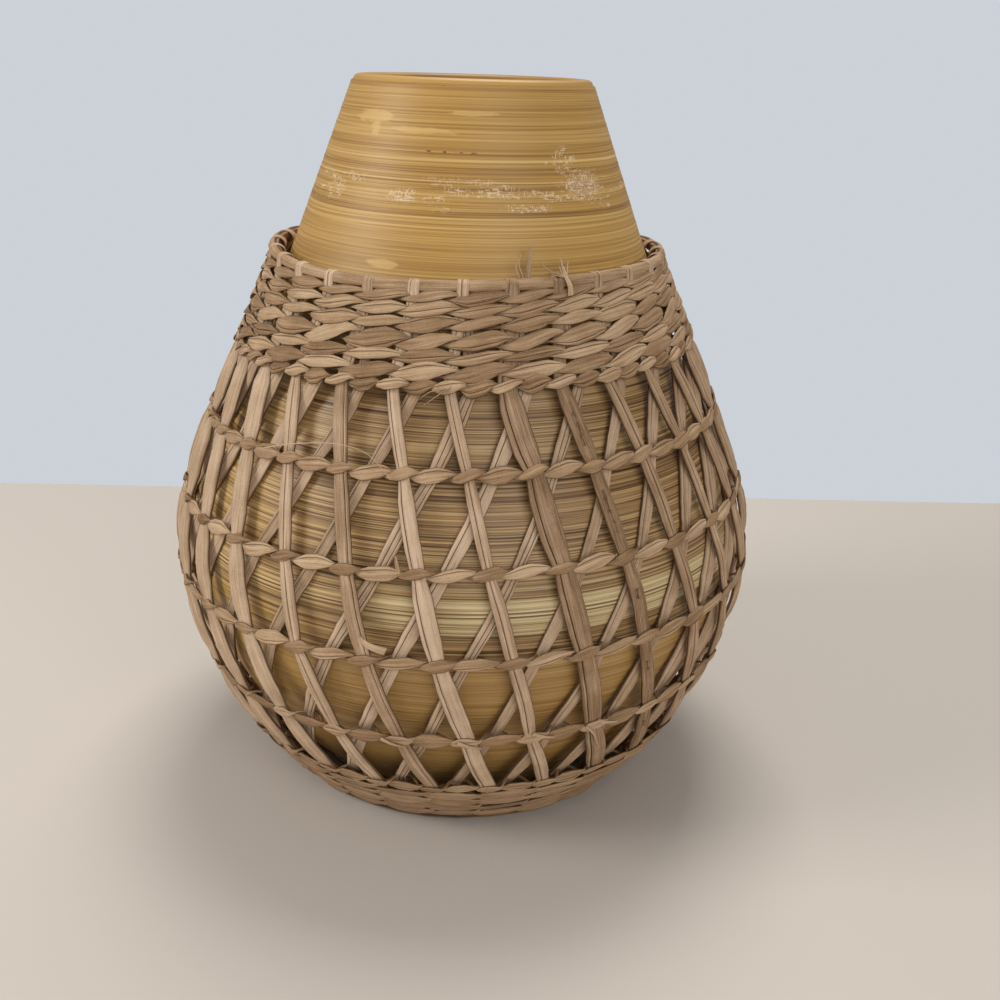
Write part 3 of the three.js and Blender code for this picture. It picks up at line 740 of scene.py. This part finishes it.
def stake(number):
    """One leaf: up its outer leg, over the rim roll and down its inner leg."""
    draw = random.Random(100 + number)
    chosen = (draw.uniform(1.9, 2.8), 1.0, [draw.uniform(-0.4, 0.4)], draw.uniform(-0.6, 0.6))
    chosen += (draw.uniform(1.8, 2.4), draw.uniform(-0.1, 0.8))
    outer_half, growth, front, tone, inner_half, inner_tone = STAKE_LEAVES.get(number, chosen)
    back = draw.choice([[], [draw.uniform(-0.5, 0.5)], [draw.uniform(0.2, 0.5)], [-0.5, 0.2]])
    section = leaf_section(front, back)
    fold_half = 2.0

    def leg(drifts, outward, half, growth, steady):
        knots = []
        for i, height in enumerate(KNOT_HEIGHTS):
            layer = COLLAR_LAYER * outward
            if height < COLLAR_FOOT - 1:
                layer = OUTER_LAYER if outward > 0 else INNER_LAYER
            stray = 0.0 if height in (LEG_FOOT, COLLAR_TOP) else draw.uniform(-0.04, 0.04) * PITCH
            azimuth = leg_azimuth(drifts, number - 1, height) + stray
            at, face, _ = on_sleeve(height, azimuth, layer)
            above_belly = clamp((height - ROW_HEIGHTS[2]) / (ROW_HEIGHTS[4] - ROW_HEIGHTS[2]))
            grown = half * mix(growth, 1.0, above_belly)
            face = turned_in(face, azimuth, ROW_TURN)
            knots.append((at, face * outward, grown * draw.uniform(0.86, 0.98), ROW_BEND))
            if i < len(KNOT_HEIGHTS) - 2 and i > 0:
                middle = (height + KNOT_HEIGHTS[i + 1]) / 2
                azimuth = leg_azimuth(drifts, number - 1, middle) + draw.uniform(-0.02, 0.02) * PITCH
                bow = leg_bow(i) * (1.0 if outward > 0 else INNER_BOW)
                at, face, _ = on_sleeve(middle, azimuth, layer + bow)
                face = turned_in(face, azimuth, BETWEEN_TURN)
                knots.append((at, face * outward, grown * draw.uniform(0.98, 1.1), BETWEEN_BEND))
        stations = []
        for at, face, wide in rounded_run(knots, LEG_STEP):
            thick = mix(LEG_THICK, COLLAR_THICK, smooth((at.z - COLLAR_FOOT + 8) / 8))
            stations.append((at, face, wide * draw.uniform(steady, 2 - steady), thick))
        return stations

    outer = [(*s, tone + draw.uniform(-0.1, 0.1)) for s in leg(OUTER_DRIFT, 1, outer_half, growth, 0.985)]
    inner = [(*s, inner_tone + draw.uniform(-0.2, 0.2)) for s in leg(INNER_DRIFT, -1, inner_half, 1.0, 0.96)]
    azimuth = leg_azimuth(OUTER_DRIFT, number - 1, COLLAR_TOP)
    at, face, along = on_sleeve(ROLL_HEIGHT, azimuth)
    fold = []
    for k in range(11):
        turn = math.pi * k / 10
        away = face * math.cos(turn) + along * math.sin(turn)
        place = at + face * (math.cos(turn) * FOLD_RADIUS) + along * (math.sin(turn) * FOLD_RISE)
        fold.append((place, away, fold_half, COLLAR_THICK, mix(tone, inner_tone, k / 10)))
    strands = Strands()
    strands.add(outer[:-1] + fold + inner[-2::-1], section)
    name = f"stake_{number:02d}"
    return strands.piece(f"{name}_leaf", STAKE_LEAF, "stakes", name)


# Twined rows: two strands wind round each other and hold the legs between them. A pass of a strand in
# front of the legs is as wide as it gets up to FULL from its middle, and comes to its tip at TIP.
FULL = math.radians(34)
TIP = math.radians(116)


def strand_path(height_at, knots, steps, shape, seed, start_phase=0.0, ends=False):
    """Stations of a strand of a twined row. Its phase, from the knots (azimuth, phase), grows by a
    whole turn from one pass in front of the legs to the next. A pass is a leaf with pointed ends."""
    draw = random.Random(seed)
    passes = {}
    stations = []
    middle = (shape["front"] + shape["back"]) / 2
    reach = (shape["front"] - shape["back"]) / 2
    last = [knots[-1]] if ends else []
    spans = [(a, b, steps) for a, b in zip(knots, knots[1:])] + [(k, k, 1) for k in last]
    for (a, phase_a), (b, phase_b), count in spans:
        for k in range(count):
            share = k / count
            azimuth = mix(a, b, share)
            phase = mix(phase_a, phase_b, share) + start_phase
            number = round(phase / TURN)
            own = passes.setdefault(number, [draw.uniform(-1, 1) for _ in range(8)])
            side = 0 if phase < number * TURN else 1
            away = abs(phase - number * TURN)
            tip = TIP * (1 + 0.09 * own[4 + side])
            full = FULL * (1 + 0.55 * own[6 + side])
            nearness = clamp((tip - away) / (tip - full)) ** 0.9
            behind = clamp((away - tip) / (math.pi - tip) * 2)
            facing = math.cos(phase)
            off = middle + reach * math.sin(math.pi / 2 * clamp((facing + shape["lead"]) / 0.7, -1, 1))
            off += 0.3 * math.sin(phase) * nearness ** 0.3
            up = shape["climb"] * (1 + 0.45 * own[3]) * math.sin(phase) + 0.45 * own[0] * nearness
            up -= shape["sink"] * behind
            height = height_at(azimuth)
            at, face, along = on_sleeve(height + up * rise_at(height).y, azimuth, off)
            wide = mix(shape["tip"], shape["wide"] * (1 + 0.15 * own[1]), nearness)
            wide = mix(wide, shape["back_wide"], behind) * shape["swell"](azimuth)
            face = (face + along * (0.08 + 0.22 * own[2]) * nearness).normalized()
            # Painted shade: a strand's tone is made darker where it passes behind the legs.
            tone = shape["tone"] + shape["tone_spread"] * own[0] - 0.8 * behind
            stations.append((at, face, wide, shape["thick"], tone))
    return stations


def strand_shape(front, back, wide, tone, **others):
    """How a strand runs: its front and back distance off the weave's middle, its half widths in front,
    at the tips and behind, its climb over a pass, how far it sinks behind, its lead, which is how much
    more than half of its way it is in front, and its tones."""
    shape = {"front": front, "back": back, "wide": wide, "tone": tone, "tip": 0.2, "back_wide": 1.3}
    shape.update({"climb": 0.8, "sink": 0.0, "lead": 0.45, "thick": 0.4, "tone_spread": 0.3})
    shape["swell"] = lambda azimuth: 1.0
    shape.update(others)
    return shape


def open_row(name, height, seed, outer, inner, sink=0.0, quarter=0.2):
    """An open row: one strand goes in front of each outer leg and behind each inner leg, and the
    other lies between the two layers of legs, in front of the inner ones. A strand is given as its
    half width, its tone and its grooves. The quarter is how far from an outer leg the strands cross."""
    knots = []
    for pair in range(STAKE_COUNT):
        centre = leg_azimuth(OUTER_DRIFT, pair, height)
        for share, phase in ((0.0, 0.0), (quarter, 0.25), (0.49, 0.5), (0.98 - quarter, 0.75)):
            knots.append((centre + share * PITCH, (pair + phase) * TURN))
    knots.append((knots[0][0] + TURN, knots[0][1] + STAKE_COUNT * TURN))
    strands = Strands()
    for (wide, tone, grooves), front, back, phase in ((outer, 2.1, -2.7, 0.0), (inner, 1.7, 0.0, math.pi)):
        shape = strand_shape(front, back, wide, tone, sink=sink, back_wide=1.3 + 0.2 * sink)
        path = strand_path(lambda azimuth: height, knots, 7, shape, seed + round(phase), phase)
        strands.add(path, leaf_section(grooves, [0.0], 0.6), closed=True)
    return strands.piece(f"{name}_leaf", ROW_LEAF, "strands", name)


# The collar's close rows from the top: how much higher each lies than even rows would, then the half
# width, the tone and the climb of its first and of its second strand. The seventh is an open row.
COLLAR_LEAVES = [
    (1.4, 2.1, -0.2, 0.8, 1.8, 0.0, 0.7),
    (1.7, 2.2, 0.5, 0.6, 2.3, 0.1, 1.0),
    (1.8, 1.9, 0.3, 1.0, 2.6, -0.1, 0.7),
    (0.9, 3.1, -0.2, 0.9, 2.4, 0.5, 2.4),
    (0.4, 2.0, 0.5, 0.8, 2.1, -0.7, 0.6),
    (0.2, 2.8, -0.5, 0.9, 2.6, 0.6, 1.0),
]
# Azimuth of a pass of the first strand in front.
COLLAR_PASS = math.radians(2.7)


def collar_row_height(number):
    return COLLAR_TOP - COLLAR_ROW_HALF - (number - 1) * COLLAR_ROW_PITCH


def collar_row(number, seed):
    """A close row of the collar: two strands go by turns in front of a pair of legs and behind the
    next. Their ends lie hidden behind the legs at the back."""
    raised, *leaves = COLLAR_LEAVES[number - 1]
    height = collar_row_height(number) + raised
    passes = STAKE_COUNT // 2 + 1
    strands = Strands()
    more = {"lead": 0.6, "tip": 0.25, "back_wide": 1.0}
    for reach, (wide, tone, climb), grooves in (
        (passes, leaves[:3], [[], [-0.55], [0.3]][number % 3]),
        (passes - 1, leaves[3:], [[0.5], [], [-0.2]][number % 3]),
    ):
        knots = [(COLLAR_PASS + k * PITCH, (k + passes - 1) * math.pi) for k in range(-reach, reach + 1)]
        shape = strand_shape(1.8, -1.6, wide, tone, climb=climb, **more)
        phase = 0.0 if reach == passes else math.pi
        path = strand_path(lambda azimuth: height, knots, 12, shape, seed + reach, phase, ends=True)
        strands.add(path, leaf_section(grooves, []))
    name = f"collar_row_{number}"
    return strands.piece(f"{name}_leaf", ROW_LEAF, "strands", name)


def base_weaver(seed):
    """The closed band at the foot: wide leaves twined close, four turns down to the mat. It starts
    narrow under the binding row, at the back."""
    top = 25.7
    turns = 4
    turn_drop = 5.1
    top_edge = 25.9
    half = 3.0
    start_half = 0.9

    def swell(azimuth):
        return mix(start_half / half, 1.0, clamp((azimuth - FIRST_FOLD) / math.pi))

    def height_at(azimuth):
        sunk = top - turn_drop * (azimuth - FIRST_FOLD) / TURN
        return min(sunk, top_edge - half * swell(azimuth) * 0.9)

    count = turns * STAKE_COUNT
    knots = [(FIRST_FOLD + k * PITCH, k * math.pi) for k in range(count + 1)]
    section = leaf_section([], [])
    strands = Strands()
    for phase, tone in ((0.0, -0.1), (math.pi, 0.2)):
        shape = strand_shape(2.5, -2.0, half, tone, climb=1.3, lead=0.6, tip=1.0, back_wide=1.4, swell=swell)
        strands.add(strand_path(height_at, knots, 12, shape, seed + round(phase), phase, ends=True), section)
    return strands.piece("base_weaver_leaf", ROW_LEAF, "strands", "base_weaver")


def rim_roll(seed):
    """The ring that the stakes fold over, in flat runs of leaf from stake to stake."""
    draw = random.Random(seed)
    steps = 14
    stations = []
    for k in range(STAKE_COUNT):
        tone = draw.uniform(0.0, 0.7)
        for i in range(steps):
            share = i / steps
            azimuth = leg_azimuth(OUTER_DRIFT, k, COLLAR_TOP) + share * PITCH
            free = math.sin(math.pi * share) ** 0.2 if share else 0.0
            at, face, _ = on_sleeve(ROLL_HEIGHT, azimuth, 1.25 * free)
            wide = mix(1.2, mix(2.05, 1.7, share), free)
            stations.append((at, face, wide, mix(1.2, 1.6, free), tone))
    strands = Strands()
    strands.add(stations, leaf_section([], []), closed=True)
    return strands.piece("rim_roll_leaf", ROW_LEAF, "strands", "rim_roll")


def base_mat():
    """The flat bottom that the vessel stands on: one leaf coiled out from the middle."""
    draw = random.Random(5)
    turns = 13
    outside = 70.0
    half = 2.65
    stations = []
    steps = 40
    for k in range((turns + 1) * steps + 1):
        turned = k / steps
        radius = mix(1.2, outside - half, min(turned / turns, 1.0))
        away = Vector((math.sin(turned * TURN), -math.cos(turned * TURN), 0))
        at = away * radius + Vector((0, 0, MAT_THICKNESS / 2))
        stations.append((at, Vector((0, 0, 1)), half, MAT_THICKNESS / 2, draw.uniform(-0.4, 0.4)))
    strands = Strands()
    strands.add(stations, leaf_section([], []))
    return strands.piece("base_mat_coil", MAT_LEAF, "mat", "base_mat")


vessel()
base_mat()
for number in range(1, STAKE_COUNT + 1):
    stake(number)
base_weaver(11)
open_row("base_binding_row", ROW_HEIGHTS[0], 21, (2.3, 0.3, []), (2.6, 0.1, [-0.4]), 1.5)
open_row("twined_row_4", ROW_HEIGHTS[1], 23, (2.1, 0.5, [0.2]), (2.9, -0.4, []), 1.5)
open_row("twined_row_3", ROW_HEIGHTS[2], 25, (2.0, -0.3, []), (2.2, 0.2, [-0.5]), 0.6)
open_row("twined_row_2", ROW_HEIGHTS[3], 27, (1.8, -0.5, []), (2.2, 0.8, [0.5]))
open_row("twined_row_1", ROW_HEIGHTS[4], 29, (2.0, -0.2, []), (2.5, 0.0, [0.5]))
for number in range(1, COLLAR_ROW_COUNT):
    collar_row(number, 50 + 40 * number)
lowest = collar_row_height(COLLAR_ROW_COUNT) + 0.4
open_row("collar_row_7", lowest, 31, (1.9, 0.6, [0.4]), (2.7, -0.5, [-0.4]), quarter=0.25)
rim_roll(70)


# Loose fibres and frayed ends on the sleeve, as (height, azimuth in degrees, how far off the weave).
def fibre(name, half, tone, places):
    """A thin fibre or narrow end of leaf through some places on the sleeve."""
    points = [on_sleeve(height, math.radians(turned), off) for height, turned, off in places]
    stations = []
    for i in range(len(points) - 1):
        near = [clamp(k, 0, len(points) - 1) for k in range(i - 1, i + 3)]
        before, start, stop, after = (points[k] for k in near)
        for k in range(6 if i < len(points) - 2 else 7):
            t = k / 6
            at = start[0] + (stop[0] - before[0]) * (t / 2)
            at += (before[0] * 2 - start[0] * 5 + stop[0] * 4 - after[0]) * (t * t / 2)
            at += (start[0] * 3 - before[0] - stop[0] * 3 + after[0]) * (t * t * t / 2)
            taper = mix(1.0, 0.4, (i + t) / (len(points) - 1))
            stations.append((at, start[1].lerp(stop[1], t), half * taper, min(half, 0.25), tone))
    strands = Strands()
    strands.add(stations, leaf_section([], []))
    return strands.piece(name, ROW_LEAF, "strands")


fibre("rim_stub", 1.15, 0.5, [
    (190.5, 15.2, 0.0), (193.5, 15.5, 0.3), (197.0, 16.0, 0.9), (202.0, 16.9, 2.0)])
fibre("rim_hair_1", 0.24, 1.8, [
    (191.5, 14.6, 0.5), (194.5, 13.8, 1.0), (197.0, 13.2, 1.4), (199.8, 13.6, 2.4)])
fibre("rim_hair_2", 0.2, 1.8, [
    (191.5, 14.2, 0.5), (194.2, 12.8, 1.2), (196.6, 12.2, 1.8), (198.4, 13.2, 2.6)])
fibre("rim_tuft", 1.15, 1.3, [
    (187.2, 26.0, 2.6), (189.6, 25.8, 3.6), (192.6, 25.4, 2.8), (195.4, 25.2, 2.4)])
for number, (half, middle_turned, end_height, end_turned) in enumerate((
    (0.6, 25.1, 197.6, 24.6), (0.5, 26.0, 196.8, 26.6), (0.4, 24.6, 195.6, 23.6),
    (0.24, 23.0, 195.2, 19.6), (0.2, 21.8, 197.0, 18.6), (0.2, 23.6, 194.0, 20.6),
)):
    fibre(f"rim_tuft_{number + 1}", half, 1.6, [
        (189.0, 25.6, 3.5), (192.0, 25.4, 3.0), (193.6, middle_turned, 2.4), (end_height, end_turned, 3.0)])
fibre("long_hair", 0.17, 2.4, [
    (140.1, -42.5, 3.6), (143.7, -33.8, 4.6), (145.5, -24.8, 5.0), (143.7, -18.3, 4.6), (137.4, -13.6, 3.4)])
fibre("frayed_end_1", 0.3, 0.4, [
    (166.5, -1.4, 0.8), (163.6, -3.4, 2.4), (161.0, -6.0, 3.2), (158.0, -8.9, 3.0)])
fibre("frayed_end_2", 0.22, 0.8, [
    (165.5, -2.0, 0.8), (163.0, -4.6, 2.4), (161.9, -7.6, 3.4), (159.8, -9.6, 3.4)])
fibre("curled_end", 1.5, 1.2, [
    (87.0, -12.8, 0.6), (88.0, -14.2, 1.8), (89.0, -15.6, 2.2), (90.6, -16.6, 2.4), (91.8, -16.4, 3.4)])
fibre("split_end", 0.5, 1.2, [
    (54.5, 23.6, 2.6), (50.7, 25.6, 3.0), (46.0, 27.2, 3.2), (42.5, 28.4, 3.4)])
fibre("cut_end", 0.9, 0.2, [(111.6, -10.8, 1.8), (114.2, -11.2, 2.4), (116.6, -11.5, 2.8)])
for number, (height, turned) in enumerate(((52.2, -11.9), (52.4, 2.2), (54.0, 15.7), (54.0, 28.5))):
    fibre(f"pale_bit_{number + 1}", 0.9, 0.9, [
        (height + 1.6, turned - 2.6, 2.6), (height + 0.4, turned - 0.4, 3.2),
        (height - 0.4, turned + 1.6, 3.2)])


# Floor, light and camera, in metres. The table ends at a wall a little behind the vase.
TABLE_EDGE = 0.259
bpy.ops.mesh.primitive_plane_add(size=6, location=(0, TABLE_EDGE - 3, 0))
floor = bpy.context.active_object
floor.name = "floor"
floor_material, floor_tree, shader = principled("pale_floor")
feed(floor_tree, shader, {"Base Color": (0.56, 0.51, 0.46), "Roughness": 0.6})
floor.data.materials.append(floor_material)

world = bpy.data.worlds.new("pale_room")
world.use_nodes = True
room = world.node_tree
room_light = room.nodes["Background"]
feed(room, room_light, {"Color": (0.95, 0.97, 1.0), "Strength": 0.31})
wall = node(room, "ShaderNodeBackground", {"Color": (0.605, 0.638, 0.69)})
to_camera = node(room, "ShaderNodeLightPath").outputs["Is Camera Ray"]
seen = node(room, "ShaderNodeMixShader", {0: to_camera, 1: room_light.outputs[0], 2: wall.outputs[0]})
feed(room, room.nodes["World Output"], {"Surface": seen.outputs[0]})
bpy.context.scene.world = world


def soft_lamp(name, place, size, power, colour):
    """A square lamp that looks at the middle of the vase."""
    bpy.ops.object.light_add(type="AREA", location=place)
    lamp = bpy.context.active_object
    lamp.name = name
    lamp.data.size = size
    lamp.data.energy = power
    lamp.data.color = colour
    lamp.rotation_euler = (Vector((0, 0, 0.12)) - Vector(place)).to_track_quat("-Z", "Y").to_euler()


soft_lamp("window_lamp", (-1.3, -0.35, 0.8), 0.6, 11.9, (1.0, 0.97, 0.93))
soft_lamp("ceiling_lamp", (0.1, 0.45, 1.3), 0.6, 11, (1.0, 0.96, 0.9))
soft_lamp("fill_lamp", (0.55, -1.35, 0.7), 1.0, 9.8, (1.0, 0.97, 0.93))

# The camera stands where the vase was photographed from: its place, and how far it looks down, turns
# to the right and leans.
CAMERA_PLACE = Vector((0, -413.65, 258.2)) * MM
SENSOR = 36
LOOKS_DOWN = math.radians(21.327)
TURNS = math.radians(1.876)
LEANS = math.radians(1.862)
FOCAL_PIXELS = 1150
PHOTO_PIXELS = 1000

level_share = math.cos(LOOKS_DOWN)
forward = Vector((math.sin(TURNS) * level_share, math.cos(TURNS) * level_share, -math.sin(LOOKS_DOWN)))
right = Vector((math.cos(TURNS), -math.sin(TURNS), 0))
up = right.cross(forward)
leaning_right = right * math.cos(LEANS) + up * math.sin(LEANS)
leaning_up = up * math.cos(LEANS) - right * math.sin(LEANS)
bpy.ops.object.camera_add()
camera = bpy.context.active_object
camera.matrix_world = Matrix((
    (leaning_right.x, leaning_up.x, -forward.x, CAMERA_PLACE.x),
    (leaning_right.y, leaning_up.y, -forward.y, CAMERA_PLACE.y),
    (leaning_right.z, leaning_up.z, -forward.z, CAMERA_PLACE.z),
    (0, 0, 0, 1),
))
camera.data.sensor_width = SENSOR
camera.data.lens = SENSOR * FOCAL_PIXELS / PHOTO_PIXELS
camera.data.clip_start = 0.01
bpy.context.scene.camera = camera
bpy.context.scene.view_settings.view_transform = "Standard"
